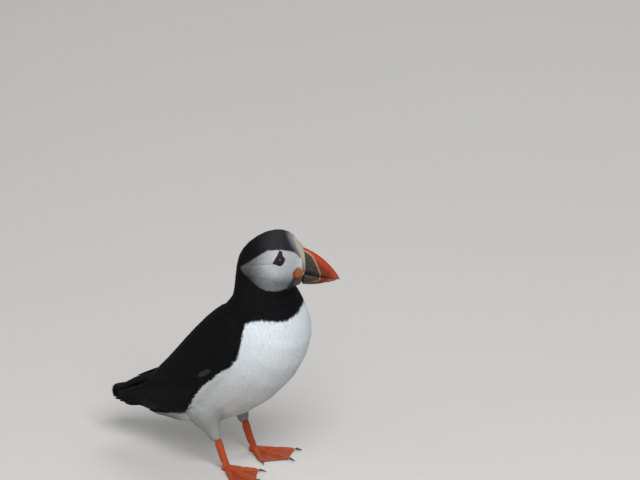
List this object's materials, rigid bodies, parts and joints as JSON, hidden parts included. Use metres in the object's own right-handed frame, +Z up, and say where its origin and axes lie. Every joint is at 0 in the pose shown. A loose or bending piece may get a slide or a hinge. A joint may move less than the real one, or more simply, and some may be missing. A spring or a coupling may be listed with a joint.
{
  "type": "atlantic puffin model",
  "caption": "Still life-size Atlantic puffin standing with its head turned to the left, black above, white below, with a deep red-tipped bill and webbed orange feet.",
  "frame": {"origin": "on the floor under the middle of the bird's extents", "axes": "+X the way the body faces, +Y to the bird's left, +Z up"},
  "size_m": [0.2128, 0.1036, 0.2184],
  "materials": {
    "white_plumage": "soft matt white feathers, faintly blue",
    "black_plumage": "soft matt black feathers",
    "grey_plumage": "short pale grey face feathers",
    "bill_red": "satin red-orange horn",
    "bill_plate": "satin slate-grey horn",
    "cere": "matt pale bare ridge",
    "rosette": "matt orange-yellow folded skin",
    "eye": "wet dark eye",
    "foot_skin": "matt orange scaled skin",
    "claw": "polished black horn"
  },
  "bodies": {
    "root": {"trunk_breast": "white_plumage", "trunk_back": "black_plumage", "neck": "black_plumage", "head_hood": "black_plumage", "head_face": "grey_plumage", "upper_bill": "bill_red", "upper_bill_plate": "bill_plate", "lower_bill": "bill_red", "lower_bill_plate": "bill_plate", "cere": "cere", "eye_left": "eye", "rosette_left": "rosette", "wing_left": "black_plumage", "thigh_left": "white_plumage", "tarsus_left": "foot_skin", "foot_left": "foot_skin", "claw_inner_left": "claw", "claw_middle_left": "claw", "claw_outer_left": "claw", "eye_right": "eye", "rosette_right": "rosette", "wing_right": "black_plumage", "thigh_right": "white_plumage", "tarsus_right": "foot_skin", "foot_right": "foot_skin", "claw_inner_right": "claw", "claw_middle_right": "claw", "claw_outer_right": "claw", "tail": "black_plumage"}
  },
  "joints": []
}
